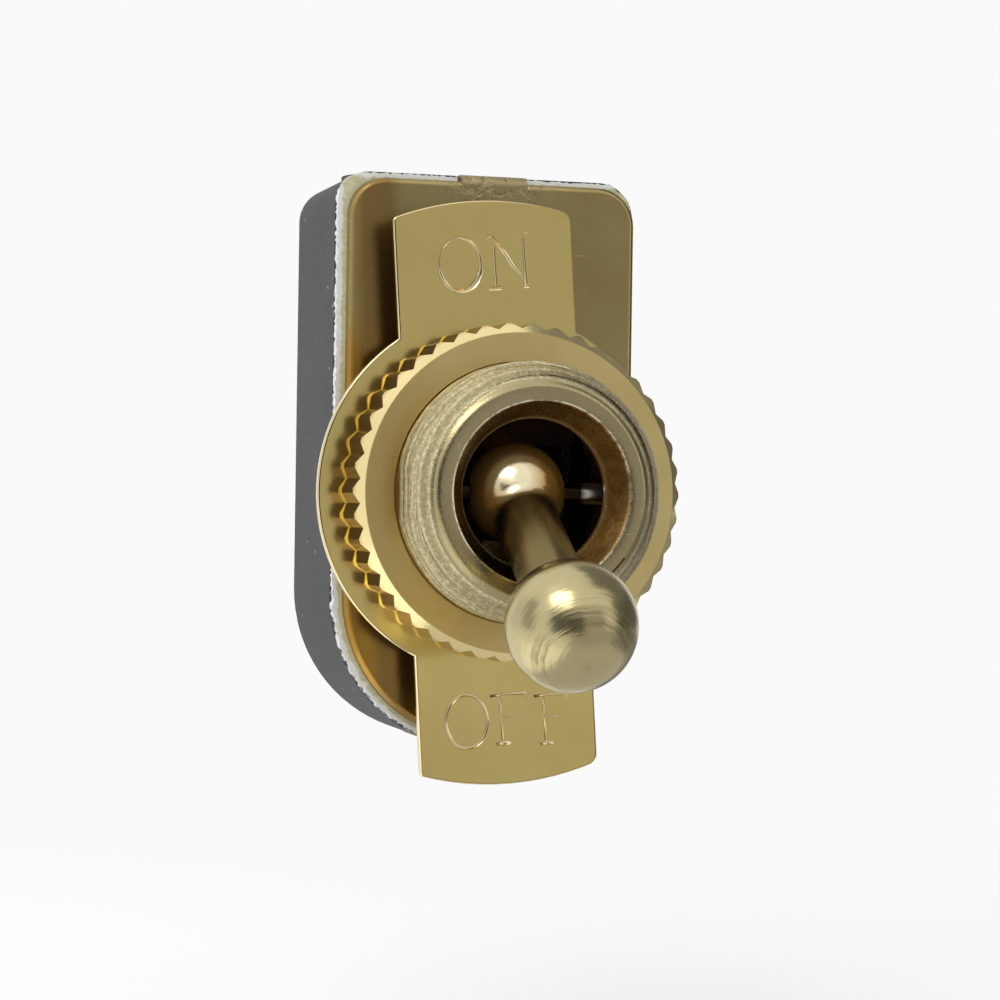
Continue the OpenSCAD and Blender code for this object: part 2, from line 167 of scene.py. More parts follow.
cameraSet = {
    "azimuth": 16.5,      # degrees to the left of straight on
    "elevation": 0.07,
    "roll": 0.854,
    "distance": 123.0,    # mm from the aim point
    "aim": (0.469, 0.0, -0.334),
    "lens": 93.6, "sensor": 36,
    "clip": (0.005, 20),  # metres
}


def placeCamera(size):
    az, el, roll = (math.radians(size[k]) for k in ("azimuth", "elevation", "roll"))
    back = Vector((-math.sin(az) * math.cos(el), -math.cos(az) * math.cos(el), math.sin(el)))
    right = (-back).cross(Vector((0, 0, 1))).normalized()
    up = right.cross(-back)
    across = right * math.cos(roll) + up * math.sin(roll)
    upright = up * math.cos(roll) - right * math.sin(roll)
    cam = linked("camera", bpy.data.cameras.new("camera"))
    turn = Matrix((across, upright, back)).transposed().to_4x4()
    cam.matrix_world = Matrix.Translation((Vector(size["aim"]) + back * size["distance"]) * mm) @ turn
    cam.data.lens = size["lens"]
    cam.data.sensor_width = size["sensor"]
    cam.data.clip_start, cam.data.clip_end = size["clip"]
    scene.camera = cam


studio = {
    "pale": (0.955, 0.955, 0.955),
    "fill": 0.55,             # how much the tent lights dull surfaces
    "floorDrop": 30.0,        # mm from the object's origin down to the floor
    "floorSize": 2000.0,
    "floorTone": 0.93,
    "floorLift": 0.34,        # lifts the lit floor to the background's tone and leaves its shadow
    "floorFade": (50.0, 130.0),
}


def staged(name, bm):
    piece = linked(name, meshFrom(bm, name))
    return piece


def paleWorld(size):
    world = bpy.data.worlds.new("tent")
    scene.world = world
    world.use_nodes = True
    tree = world.node_tree
    tree.nodes.clear()
    strength = ramp(tree, seenDirectly(tree), 0.0, 1.0, (size["fill"], 1.0))
    shade = put(tree, "ShaderNodeBackground", {"Color": size["pale"], "Strength": strength})
    tree.links.new(shade.outputs[0], put(tree, "ShaderNodeOutputWorld").inputs["Surface"])


def paleFloor(size):
    bm = bmesh.new()
    bmesh.ops.create_grid(bm, x_segments=1, y_segments=1, size=size["floorSize"] * mm / 2)
    bmesh.ops.translate(bm, verts=bm.verts, vec=(0, 0, -size["floorDrop"] * mm))
    floor = staged("floor", bm)
    mat, tree, out = emptyMaterial("paleFloor")
    dull = put(tree, "ShaderNodeBsdfDiffuse", {"Color": (size["floorTone"],) * 3})
    lift = put(tree, "ShaderNodeEmission", {"Color": size["pale"],
                                            "Strength": times(tree, seenDirectly(tree), size["floorLift"])})
    near = put(tree, "ShaderNodeAddShader", {0: dull.outputs[0], 1: lift.outputs[0]})
    glow = put(tree, "ShaderNodeEmission", {"Color": size["pale"]})     # far off it runs into the background
    spot = split(tree, put(tree, "ShaderNodeTexCoord").outputs["Object"])
    low, high = (v * mm for v in size["floorFade"])
    far = put(tree, "ShaderNodeMapRange", {"Value": reachFrom(tree, spot["X"], spot["Y"]),
                                           "From Min": low, "From Max": high},
              interpolation_type="SMOOTHSTEP")
    mix = put(tree, "ShaderNodeMixShader", {0: far.outputs["Result"], 1: near.outputs[0], 2: glow.outputs[0]})
    tree.links.new(mix.outputs[0], out.inputs["Surface"])
    floor.data.materials.append(mat)


# softboxes: where they stand (mm), their size (mm) and how bright their face is
softboxes = {
    "above": {"at": (-150, -172, 238), "size": (180, 120), "glow": 3.2},
    "left": {"at": (-300, 180, 30), "size": (240, 300), "glow": 2.2, "dull": True},
}

# grey cards that only the metal sees; a level one lies just above the floor
cards = {
    "front": {"at": (60, -420, 0), "size": (560, 460), "tone": 0.44},
    "right": {"at": (420, 60, 20), "size": (560, 520), "tone": 0.13},
    "camera": {"at": (-60, -138, 3), "size": (150, 120), "tone": 0.08},
    "leftBack": {"at": (-300, 190, 30), "size": (240, 300), "tone": 0.8},
    "leftSide": {"at": (-340, 35, 60), "size": (150, 320), "tone": 0.42},
    "aboveRight": {"at": (240, 85, 268), "size": (380, 330), "tone": 0.22},
    "floorFront": {"at": (50, -200, -29.4), "size": (150, 290), "tone": 0.46, "level": True},
    "floorRight": {"at": (185, -40, -29.7), "size": (330, 460), "tone": 0.26, "level": True},
    "floorUnder": {"at": (18, -22, -29.5), "size": (64, 72), "tone": 0.6, "level": True},
    "floorLeft": {"at": (-38, -12, -29.3), "size": (46, 56), "tone": 1.3, "level": True},
}


def facing(at):
    return Vector(at).to_track_quat("Z", "Y")


def hangSoftbox(name, size):
    lamp = bpy.data.lights.new(name, "AREA")
    lamp.shape = "RECTANGLE"
    lamp.size, lamp.size_y = (v * mm for v in size["size"])
    lamp.energy = size["glow"] * lamp.size * lamp.size_y * math.pi      # an even face of that brightness
    box = linked(name, lamp)
    box.location = Vector(size["at"]) * mm
    box.rotation_mode = "QUATERNION"
    box.rotation_quaternion = facing(size["at"])
    box.visible_glossy = not size.get("dull")        # a dull box shows in no metal


def hangCard(name, size):
    bm = bmesh.new()
    bmesh.ops.create_grid(bm, x_segments=1, y_segments=1, size=0.5 * mm)
    bmesh.ops.scale(bm, verts=bm.verts, vec=(*size["size"], 1))
    if not size.get("level"):
        bmesh.ops.rotate(bm, verts=bm.verts, matrix=facing(size["at"]).to_matrix())
    bmesh.ops.translate(bm, verts=bm.verts, vec=Vector(size["at"]) * mm)
    card = staged(name + "Card", bm)
    mat, tree, out = emptyMaterial(name + "Card")
    glow = put(tree, "ShaderNodeEmission", {"Color": (size["tone"],) * 3})
    tree.links.new(glow.outputs[0], out.inputs["Surface"])
    card.data.materials.append(mat)
    card.visible_camera = card.visible_diffuse = card.visible_shadow = card.visible_transmission = False


placeCamera(cameraSet)
paleWorld(studio)
paleFloor(studio)
for name, size in softboxes.items():
    hangSoftbox(name, size)
for name, size in cards.items():
    hangCard(name, size)
print("camera, floor and light are set")


# finishes

def wornMetalGroup():
    # cloudy tarnish, short scratches in two directions and a fine grain
    tree, given, out = newGroup("wornMetal", [
        ("Vector", "NodeSocketVector", None),
        ("Color", "NodeSocketColor", (0.8, 0.6, 0.3, 1)),
        ("Tarnish", "NodeSocketColor", (0.3, 0.2, 0.1, 1)),
        ("Tarnish Amount", "NodeSocketFloat", 0.3),
        ("Roughness", "NodeSocketFloat", 0.3),
        ("Roughness Spread", "NodeSocketFloat", 0.1),
        ("Scratches", "NodeSocketFloat", 0.3),
        ("Grain", "NodeSocketFloat", 0.2),
    ], [("Color", "NodeSocketColor"), ("Roughness", "NodeSocketFloat"), ("Height", "NodeSocketFloat")])
    spot = given["Vector"]
    cloudy = cloud(tree, spot, 260, 5, 0.6, 0.4)
    fine = cloud(tree, spot, 9000, 2, 0.5)
    streakA = cloud(tree, stretched(tree, spot, (700, 700, 9000), (0, 0.5, 0)), 1.0, 2, 0.5)
    streakB = cloud(tree, stretched(tree, spot, (8000, 900, 600), (0, 0.25, 0)), 1.0, 2, 0.5)
    lines = calc(tree, "MAXIMUM", ramp(tree, streakA, 0.68, 0.76), ramp(tree, streakB, 0.7, 0.78))
    lines = times(tree, lines, given["Scratches"])
    stain = times(tree, ramp(tree, cloudy, 0.35, 0.72), given["Tarnish Amount"])
    shade = blendColor(tree, stain, given["Color"], given["Tarnish"])
    shade = blendColor(tree, times(tree, lines, 0.35), shade, (0.95, 0.9, 0.75))
    patches, grains = (calc(tree, "SUBTRACT", noise, 0.5) for noise in (cloudy, fine))
    rough = timesPlus(tree, patches, given["Roughness Spread"], given["Roughness"])
    rough = timesPlus(tree, grains, times(tree, given["Grain"], 0.3), rough, clamp=True)
    height = calc(tree, "SUBTRACT", times(tree, fine, given["Grain"]), lines)
    for label, value in (("Color", shade), ("Roughness", rough), ("Height", height)):
        tree.links.new(value, out.inputs[label])
    return tree


def turnedGroup():
    # fine rings round the Y axis of the vector that comes in, as a lathe leaves them
    tree, given, out = newGroup("turnedRings", [
        ("Vector", "NodeSocketVector", None),
        ("Along", "NodeSocketFloat", 0.0),          # 0 counts the rings across a face, 1 along a barrel
        ("Fineness", "NodeSocketFloat", 9000.0),
        ("Waver", "NodeSocketFloat", 0.0),
    ], [("Height", "NodeSocketFloat")])
    spot = split(tree, given["Vector"])
    reach = reachFrom(tree, spot["X"], spot["Z"])
    across = times(tree, reach, calc(tree, "SUBTRACT", 1.0, given["Along"]))
    way = timesPlus(tree, spot["Y"], given["Along"], across)
    waver = times(tree, cloud(tree, given["Vector"], 900, 2), given["Waver"])
    noise = put(tree, "ShaderNodeTexNoise", {"Scale": 1.0, "Detail": 3.0, "Roughness": 0.7,
                                             "W": timesPlus(tree, way, given["Fineness"], waver)},
                noise_dimensions="1D")
    tree.links.new(noise.outputs["Fac"], out.inputs["Height"])
    return tree


def specksGroup():
    # small pale crumbs, thinly scattered
    tree, given, out = newGroup("paleSpecks", [
        ("Vector", "NodeSocketVector", None),
        ("Scale", "NodeSocketFloat", 900.0),
        ("Share", "NodeSocketFloat", 0.05),
        ("Size", "NodeSocketFloat", 0.18),
    ], [("Mask", "NodeSocketFloat")])
    cells = put(tree, "ShaderNodeTexVoronoi", {"Scale": given["Scale"], "Vector": given["Vector"]})
    pick = put(tree, "ShaderNodeSeparateColor", {"Color": cells.outputs["Color"]})
    chosen = calc(tree, "LESS_THAN", pick.outputs[0], given["Share"])
    near = calc(tree, "LESS_THAN", cells.outputs["Distance"], times(tree, pick.outputs[1], given["Size"]))
    tree.links.new(times(tree, chosen, near), out.inputs["Mask"])
    return tree


wornMetal = wornMetalGroup()
turnedRings = turnedGroup()
paleSpecks = specksGroup()


def startMaterial(name, metallic=0.0):
    mat, tree, out = emptyMaterial(name)
    shader = put(tree, "ShaderNodeBsdfPrincipled", {"Metallic": metallic})
    tree.links.new(shader.outputs[0], out.inputs["Surface"])
    return mat, tree, shader, put(tree, "ShaderNodeTexCoord").outputs["Object"]


def wornSurface(tree, spot, look):
    return useGroup(tree, wornMetal, {"Vector": spot, "Color": look["color"], "Tarnish": look["tarnish"],
                                      "Tarnish Amount": look["tarnished"], "Roughness": look["rough"],
                                      "Roughness Spread": look["spread"], "Scratches": look["scratches"],
                                      "Grain": look["grain"]})


def bumped(tree, shader, height, depth):
    bump = put(tree, "ShaderNodeBump", {"Strength": 1.0, "Distance": depth * mm, "Height": height})
    tree.links.new(bump.outputs[0], shader.inputs["Normal"])


# A pair of numbers says where an effect begins and where it is full. A name that ends in X, Y, Z or R
# gives them in mm on that axis or radius, and one that ends in From gives them as levels of a noise.
plainMetals = {
    "plateBrass": {"color": (0.84, 0.665, 0.25), "tarnish": (0.68, 0.48, 0.14), "tarnished": 0.3,
                   "rough": 0.15, "spread": 0.06, "scratches": 0.12, "grain": 0.3, "depth": 0.002,
                   # painted highlight: rounded edges and stamped lines are painted pale, with a painted dark
                   # line of shade where they begin
                   "edge": (0.88, 0.74, 0.42), "edgeY": (-2.011, -2.002),
                   "line": (0.22, 0.14, 0.04), "paintedShadeLineY": (-2.0195, -2.0175), "paintedShadeLine": 0.75},
    "jamNutBrass": {"color": (0.62, 0.42, 0.15), "tarnish": (0.35, 0.2, 0.06), "tarnished": 0.5,
                    "rough": 0.28, "spread": 0.12, "scratches": 0.3, "grain": 0.2, "depth": 0.004},
    "stripBrass": {"color": (0.8, 0.6, 0.26), "tarnish": (0.5, 0.3, 0.1), "tarnished": 0.3,
                   "rough": 0.28, "spread": 0.1, "scratches": 0.3, "grain": 0.2, "depth": 0.003},
    "pinSteel": {"color": (0.62, 0.6, 0.56), "tarnish": (0.372, 0.36, 0.336), "tarnished": 0.3,
                 "rough": 0.25, "spread": 0.1, "scratches": 0.3, "grain": 0.3, "depth": 0.003,
                 # blackened all but its right end
                 "darkening": (0.02, 0.012, 0.006), "darkeningX": (2.8, 2.5)},
    "springSteel": {"color": (0.5, 0.5, 0.5), "tarnish": (0.3, 0.3, 0.3), "tarnished": 0.3,
                    "rough": 0.3, "spread": 0.1, "scratches": 0.3, "grain": 0.3, "depth": 0.003},
    "contactSilver": {"color": (0.85, 0.84, 0.8), "tarnish": (0.51, 0.504, 0.48), "tarnished": 0.3,
                      "rough": 0.2, "spread": 0.1, "scratches": 0.3, "grain": 0.3, "depth": 0.003},
}


def plainMetal(name, look):
    mat, tree, shader, spot = startMaterial(name, 1.0)
    worn = wornSurface(tree, spot, look)
    shade = worn["Color"]
    if "edge" in look:
        # painted highlight on the edges and stamped lines, and a painted line of shade where they begin
        height = split(tree, spot)["Y"]
        paintedShadeLine = times(tree, rampMm(tree, height, look["paintedShadeLineY"]), look["paintedShadeLine"])
        shade = blendColor(tree, paintedShadeLine, shade, look["line"])
        shade = blendColor(tree, rampMm(tree, height, look["edgeY"]), shade, look["edge"])
    if "darkening" in look:
        shade = blendColor(tree, rampMm(tree, split(tree, spot)["X"], look["darkeningX"]), shade, look["darkening"])
    wire(tree, shader, "Base Color", shade)
    wire(tree, shader, "Roughness", worn["Roughness"])
    bumped(tree, shader, worn["Height"], look["depth"])
    return mat


nutFinish = {
    "color": (0.84, 0.66, 0.29), "tarnish": (0.6, 0.42, 0.15), "tarnished": 0.4,
    "rough": 0.34, "spread": 0.1, "scratches": 0.3, "grain": 0.15, "depth": 0.003,
    "paintedShadeLeftX": (-3.5, -6.5), "left": 0.6,                 # painted shade: the left side is darkened with the tarnish colour
    # painted highlight: the bevel is pale cream
    "bevel": (0.92, 0.76, 0.38), "paintedHighlightBevelR": (7.26, 7.29), "paintedHighlightBevelY": (-5.03, -5.01), "bevelRough": -0.17,
    # painted shade: the knurl is dark orange-brown, as its dark reflections look
    "knurl": (0.62, 0.38, 0.1), "knurlR": (7.2, 7.3), "knurlY": (-4.7, -4.46),
    # painted highlight: the back edge is bright gold
    "back": (1.0, 0.82, 0.34), "paintedHighlightBackY": (-2.4, -2.34),
    "rings": 0.6,
}


def nutBrass(look):
    mat, tree, shader, spot = startMaterial("nutBrass", 1.0)
    worn = wornSurface(tree, spot, look)
    place = split(tree, spot)
    reach = reachFrom(tree, place["X"], place["Z"])
    # painted shade on the left and in the knurl, and painted highlights on the bevel and the back edge
    left = times(tree, rampMm(tree, place["X"], look["paintedShadeLeftX"]), look["left"])
    bevel = times(tree, rampMm(tree, reach, look["paintedHighlightBevelR"]), rampMm(tree, place["Y"], look["paintedHighlightBevelY"]))
    knurl = times(tree, rampMm(tree, reach, look["knurlR"]), rampMm(tree, place["Y"], look["knurlY"]))
    shade = blendColor(tree, left, worn["Color"], look["tarnish"])
    shade = blendColor(tree, bevel, shade, look["bevel"])
    shade = blendColor(tree, knurl, shade, look["knurl"])
    shade = blendColor(tree, rampMm(tree, place["Y"], look["paintedHighlightBackY"]), shade, look["back"])
    wire(tree, shader, "Base Color", shade)
    wire(tree, shader, "Roughness", timesPlus(tree, bevel, look["bevelRough"], worn["Roughness"]))
    rings = useGroup(tree, turnedRings, {"Vector": spot})
    bumped(tree, shader, timesPlus(tree, rings["Height"], look["rings"], worn["Height"]), look["depth"])
    return mat


coverFinish = {
    "color": (0.43, 0.335, 0.145), "tarnish": (0.27, 0.17, 0.055), "tarnished": 0.35,
    "rough": 0.26, "spread": 0.15, "scratches": 0.6, "grain": 0.1, "depth": 0.006,
    "turn": 3.8,                                        # degrees, as the indicator plate sits
    # painted shade: brown beside the plate, where the plate shades the cover, with a wavering left side
    "paintedPlateShade": (0.31, 0.19, 0.062), "paintedPlateShadeShare": 0.88, "paintedPlateShadeX": (-5.8, -5.2), "underPlateX": (-3.6, -4.2),
    "waver": 0.8, "waverScale": (500, 500, 120),
    # the lower left is browner
    "warm": (0.46, 0.25, 0.038), "warmed": 0.85,
    "warmZ": (8.8, 6.6), "warmX": (-3.2, -4.2), "rimX": (-7.3, -6.95),
    # a pale smear and pits where the end tab bends over
    "bend": (0.4, 0.33, 0.19), "smeared": 0.6, "bendZ": (13.0, 14.5), "bendX": (3.2, 1.2),
    "bendRough": 0.15, "pits": -5.0, "pitScale": 1500, "pitFrom": (0.5, 0.62),
    "rolledX": (-6.2, -6.5), "rolledRough": 0.25,       # the rolled left edge is duller
}


def coverBrass(look):
    mat, tree, shader, spot = startMaterial("coverBrass", 1.0)
    worn = wornSurface(tree, spot, look)
    place = split(tree, spot)
    turned = split(tree, stretched(tree, spot, (1, 1, 1), (0, math.radians(look["turn"]), 0)))
    # painted shade beside the indicator plate, with a wavering left side
    wavering = cloud(tree, stretched(tree, spot, look["waverScale"]), 1.0, 3)
    across = timesPlus(tree, wavering, look["waver"] * mm, turned["X"])
    paintedPlateShade = times(tree, rampMm(tree, across, look["paintedPlateShadeX"]), rampMm(tree, turned["X"], look["underPlateX"]))
    warm = times(tree, rampMm(tree, place["Z"], look["warmZ"]), rampMm(tree, place["X"], look["rimX"]))
    warm = times(tree, warm, rampMm(tree, place["X"], look["warmX"]))
    middle = rampMm(tree, calc(tree, "ABSOLUTE", place["X"]), look["bendX"])
    bend = times(tree, rampMm(tree, place["Z"], look["bendZ"]), middle)
    shade = blendColor(tree, times(tree, warm, look["warmed"]), worn["Color"], look["warm"])
    shade = blendColor(tree, times(tree, paintedPlateShade, look["paintedPlateShadeShare"]), shade, look["paintedPlateShade"])
    shade = blendColor(tree, times(tree, bend, look["smeared"]), shade, look["bend"])
    wire(tree, shader, "Base Color", shade)
    rolled = rampMm(tree, place["X"], look["rolledX"])
    rough = timesPlus(tree, bend, look["bendRough"], worn["Roughness"])
    wire(tree, shader, "Roughness", timesPlus(tree, rolled, look["rolledRough"], rough))
    pits = times(tree, ramp(tree, cloud(tree, spot, look["pitScale"], 4, 0.6), *look["pitFrom"]), bend)
    bumped(tree, shader, timesPlus(tree, pits, look["pits"], worn["Height"]), look["depth"])
    return mat


bushingFinish = {
    "color": (0.47, 0.395, 0.22), "tarnish": (0.36, 0.28, 0.13), "tarnished": 0.5,
    "rough": 0.25, "spread": 0.12, "scratches": 0.5, "grain": 0.6, "depth": 0.009,
    # painted highlight: the mouth's sharp edge is painted bright in places
    "lip": (0.95, 0.87, 0.62), "lipR": (4.19, 4.16), "nickScale": 1400, "nickFrom": (0.42, 0.52),
    "mouth": (0.25, 0.175, 0.07), "mouthR": (4.07, 4.02), "mouthed": 0.85,
    # the bore is dull with old grease
    "bore": (0.34, 0.2, 0.065), "boreR": (4.9, 4.75), "boreY": (-7.2, -6.9), "boreMetal": -0.75,
    # the thread and the turned end are torn, rougher than the rim, with low and high places
    "cutR": (4.98, 5.14), "cutRough": 0.05,
    "torn": (0.58, 0.5, 0.29), "tornShare": 0.8, "tornScale": 5200,
    "hollow": (0.26, 0.2, 0.09), "hollowShare": 0.6, "hollowFrom": (0.5, 0.44),
    "fleck": (0.88, 0.8, 0.54), "fleckShare": 0.7, "fleckFrom": (0.53, 0.59),
    "rings": {"Fineness": 4200.0, "Along": 1.0, "Waver": 0.5},
    "ringDepth": (7.0, 0.1), "gritDepth": (7.0, 0.4),   # added on the cut metal, and everywhere
}


def bushingBrass(look):
    mat, tree, shader, spot = startMaterial("bushingBrass", 1.0)
    worn = wornSurface(tree, spot, look)
    place = split(tree, spot)
    reach = reachFrom(tree, place["X"], place["Z"])
    # painted highlight on the mouth's sharp edge, broken up by noise
    nicked = ramp(tree, cloud(tree, spot, look["nickScale"], 3, 0.7), *look["nickFrom"])
    lip = times(tree, rampMm(tree, reach, look["lipR"]), nicked)
    mouth = times(tree, rampMm(tree, reach, look["mouthR"]), look["mouthed"])
    bore = times(tree, rampMm(tree, place["Y"], look["boreY"]), rampMm(tree, reach, look["boreR"]))
    shade = blendColor(tree, lip, worn["Color"], look["lip"])
    shade = blendColor(tree, mouth, shade, look["mouth"])
    shade = blendColor(tree, bore, shade, look["bore"])
    cut = rampMm(tree, reach, look["cutR"])
    rings = useGroup(tree, turnedRings, {"Vector": spot, **look["rings"]})
    coarse = cloud(tree, spot, look["tornScale"], 4, 0.8)
    torn = timesPlus(tree, rings["Height"], 0.5, times(tree, coarse, 0.5))
    hollow = times(tree, ramp(tree, torn, *look["hollowFrom"]), cut)
    fleck = times(tree, ramp(tree, torn, *look["fleckFrom"]), cut)
    shade = blendColor(tree, times(tree, cut, look["tornShare"]), shade, look["torn"])
    shade = blendColor(tree, times(tree, hollow, look["hollowShare"]), shade, look["hollow"])
    shade = blendColor(tree, times(tree, fleck, look["fleckShare"]), shade, look["fleck"])
    wire(tree, shader, "Base Color", shade)
    wire(tree, shader, "Roughness", timesPlus(tree, cut, look["cutRough"], worn["Roughness"]))
    wire(tree, shader, "Metallic", timesPlus(tree, bore, look["boreMetal"], 1.0))
    height = timesPlus(tree, rings["Height"], timesPlus(tree, cut, *look["ringDepth"]), worn["Height"])
    height = timesPlus(tree, coarse, timesPlus(tree, cut, *look["gritDepth"]), height)
    bumped(tree, shader, height, look["depth"])
    return mat


leverFinish = {
    "color": (0.6, 0.515, 0.285), "tarnish": (0.42, 0.34, 0.155), "tarnished": 0.45,
    "rough": 0.24, "spread": 0.1, "scratches": 0.3, "grain": 0.25, "depth": 0.006,
    # the lever's own frame has its pivot at zero and its handle along -Y
    "pivot": (0.48, 5.5), "lean": 33.0,                 # mm to the left, mm out from the cover, degrees
    "stem": (0.2, 0.14, 0.052), "dulled": 0.9, "stemY": (-8.1, -7.3), "stemEndY": (-1.5, -2.3),
    # painted shade and highlight: the pivot ball is brown and partly dull, standing in for its shaded rim,
    # with a pale painted highlight in one place
    "darkening": (0.4, 0.22, 0.05), "ballY": (-2.4, -1.8), "ballRough": -0.07, "paintedShadeMetal": -0.22,
    "paintedHighlight": (0.86, 0.76, 0.5), "paintedHighlightAt": (-0.6, -1.35, 1.76), "paintedHighlightR": (1.5, 0.6),
    # coarse turning and smears on the handle's end
    "tipY": (-11.4, -12.4), "smear": (0.2, 0.15, 0.065), "smeared": 0.8, "smearFrom": (0.5, 0.4),
    "patchScale": (260, 900, 600), "patchFrom": (0.42, 0.62),
    "fineRings": {"Along": 1.0, "Fineness": 6500.0, "Waver": 0.6}, "fineDepth": 0.7,
    "broadRings": {"Along": 1.0, "Fineness": 1700.0, "Waver": 0.55}, "broadDepth": 3.6,
    "quiet": 0.3,                                       # how much of it the shaft and pivot ball keep
    "tipDepth": (1.2, 0.8),                             # added on the handle's end, and everywhere
}


def leverBrass(look):
    mat, tree, shader, spot = startMaterial("leverBrass", 1.0)
    toPivot = (*(v * mm for v in look["pivot"]), 0)
    moved = put(tree, "ShaderNodeVectorMath", {0: spot, 1: toPivot}, operation="ADD")
    own = stretched(tree, moved.outputs[0], (1, 1, 1), (math.radians(-look["lean"]), 0, 0))
    worn = wornSurface(tree, own, look)
    along = split(tree, own)["Y"]
    stem = times(tree, rampMm(tree, along, look["stemY"]), rampMm(tree, along, look["stemEndY"]))
    # painted shade over the pivot ball, with a painted highlight in one place
    ball = rampMm(tree, along, look["ballY"])
    far = put(tree, "ShaderNodeVectorMath", {0: own, 1: tuple(v * mm for v in look["paintedHighlightAt"])},
              operation="DISTANCE")
    paintedHighlight = times(tree, rampMm(tree, far.outputs["Value"], look["paintedHighlightR"]), ball)
    shade = blendColor(tree, times(tree, stem, look["dulled"]), worn["Color"], look["stem"])
    shade = blendColor(tree, ball, shade, look["darkening"])
    shade = blendColor(tree, paintedHighlight, shade, look["paintedHighlight"])
    paintedShadeFilm = calc(tree, "SUBTRACT", ball, paintedHighlight)
    wire(tree, shader, "Metallic", timesPlus(tree, paintedShadeFilm, look["paintedShadeMetal"], 1.0))
    fine = useGroup(tree, turnedRings, {"Vector": own, **look["fineRings"]})
    broad = useGroup(tree, turnedRings, {"Vector": own, **look["broadRings"]})
    tip = rampMm(tree, along, look["tipY"])
    patchy = cloud(tree, stretched(tree, own, look["patchScale"]), 1.0, 3, 0.6)
    patchy = ramp(tree, patchy, *look["patchFrom"])
    smeared = times(tree, ramp(tree, broad["Height"], *look["smearFrom"]), times(tree, tip, patchy))
    shade = blendColor(tree, times(tree, smeared, look["smeared"]), shade, look["smear"])
    wire(tree, shader, "Base Color", shade)
    wire(tree, shader, "Roughness", timesPlus(tree, ball, look["ballRough"], worn["Roughness"]))
    turning = times(tree, fine["Height"], look["fineDepth"])
    turning = timesPlus(tree, broad["Height"], look["broadDepth"], turning)
    turning = times(tree, turning, ramp(tree, calc(tree, "ADD", ball, stem), 0.0, 1.0, (1.0, look["quiet"])))
    turning = times(tree, turning, timesPlus(tree, tip, *look["tipDepth"]))
    bumped(tree, shader, calc(tree, "ADD", turning, worn["Height"]), look["depth"])
    return mat


mouldings = {
    "caseMoulding": {"color": (0.078, 0.078, 0.08), "darker": (0.063, 0.063, 0.065), "speck": (0.5, 0.5, 0.5),
                     "rough": 0.62},
    "carrierMoulding": {"color": (0.12, 0.05, 0.03), "darker": (0.07, 0.03, 0.02), "speck": (0.3, 0.2, 0.12),
                        "rough": 0.45},
}
mouldedSurface = {
    "crumbs": {"Scale": 1700.0, "Share": 0.13, "Size": 0.22},
    "dust": {"Scale": 4200.0, "Share": 0.03, "Size": 0.35},
    "specked": 0.7, "spread": 0.25, "depth": 0.006, "gloss": 0.2,
}


def moulding(name, look, surface):
    mat, tree, shader, spot = startMaterial(name)
    cloudy = cloud(tree, spot, 180, 4, 0.6)
    fine = cloud(tree, spot, 5000, 3, 0.6)
    crumbs, dust = (useGroup(tree, paleSpecks, {"Vector": spot, **surface[k]}) for k in ("crumbs", "dust"))
    marks = calc(tree, "MAXIMUM", crumbs["Mask"], dust["Mask"])
    shade = blendColor(tree, ramp(tree, cloudy, 0.3, 0.7), look["darker"], look["color"])
    shade = blendColor(tree, times(tree, marks, surface["specked"]), shade, look["speck"])
    wire(tree, shader, "Base Color", shade)
    rough = timesPlus(tree, calc(tree, "SUBTRACT", fine, 0.5), surface["spread"], look["rough"])
    wire(tree, shader, "Roughness", rough)
    wire(tree, shader, "Specular IOR Level", surface["gloss"])
    bumped(tree, shader, calc(tree, "ADD", fine, marks), surface["depth"])
    return mat


fibreFinish = {
    "face": (0.68, 0.68, 0.45), "shade": (0.56, 0.56, 0.36), "fray": (0.88, 0.88, 0.86),
    "rough": 0.9, "gloss": 0.2, "depth": 0.05,
    "middle": -0.17, "half": 7.29, "roundAt": -4.8, "top": 14.9,    # the cut outline, mm
    "frayed": (0.26, 0.16), "ragged": 0.5,              # how far in the edge is frayed and how unevenly, mm
    "weaveScale": (1500, 1500, 5200),
}


def fibrePaper(look):
    mat, tree, shader, spot = startMaterial("fibrePaper")
    place = split(tree, spot)
    # how far in from the cut edge
    aside = calc(tree, "SUBTRACT", place["X"], look["middle"] * mm)
    below = calc(tree, "MINIMUM", calc(tree, "SUBTRACT", place["Z"], look["roundAt"] * mm), 0.0)
    fromSide = calc(tree, "SUBTRACT", look["half"] * mm, reachFrom(tree, aside, below))
    fromTop = calc(tree, "SUBTRACT", look["top"] * mm, place["Z"])
    inward = calc(tree, "MINIMUM", fromSide, fromTop)
    fluff = cloud(tree, spot, 2600, 4, 0.65)
    weave = cloud(tree, stretched(tree, spot, look["weaveScale"]), 1.0, 3, 0.6)
    shade = blendColor(tree, ramp(tree, weave, 0.35, 0.65), look["face"], look["shade"])
    inward = timesPlus(tree, calc(tree, "SUBTRACT", fluff, 0.5), look["ragged"] * mm, inward)
    shade = blendColor(tree, rampMm(tree, inward, look["frayed"]), shade, look["fray"])
    wire(tree, shader, "Base Color", shade)
    wire(tree, shader, "Roughness", look["rough"])
    wire(tree, shader, "Specular IOR Level", look["gloss"])
    bumped(tree, shader, fluff, look["depth"])
    return mat


finishes = {name: plainMetal(name, look) for name, look in plainMetals.items()}
finishes["nutBrass"] = nutBrass(nutFinish)
finishes["coverBrass"] = coverBrass(coverFinish)
finishes["bushingBrass"] = bushingBrass(bushingFinish)
finishes["leverBrass"] = leverBrass(leverFinish)
for name, look in mouldings.items():
    finishes[name] = moulding(name, look, mouldedSurface)
finishes["fibrePaper"] = fibrePaper(fibreFinish)
print("finishes:", ", ".join(finishes))


# the CAD pieces take their finishes

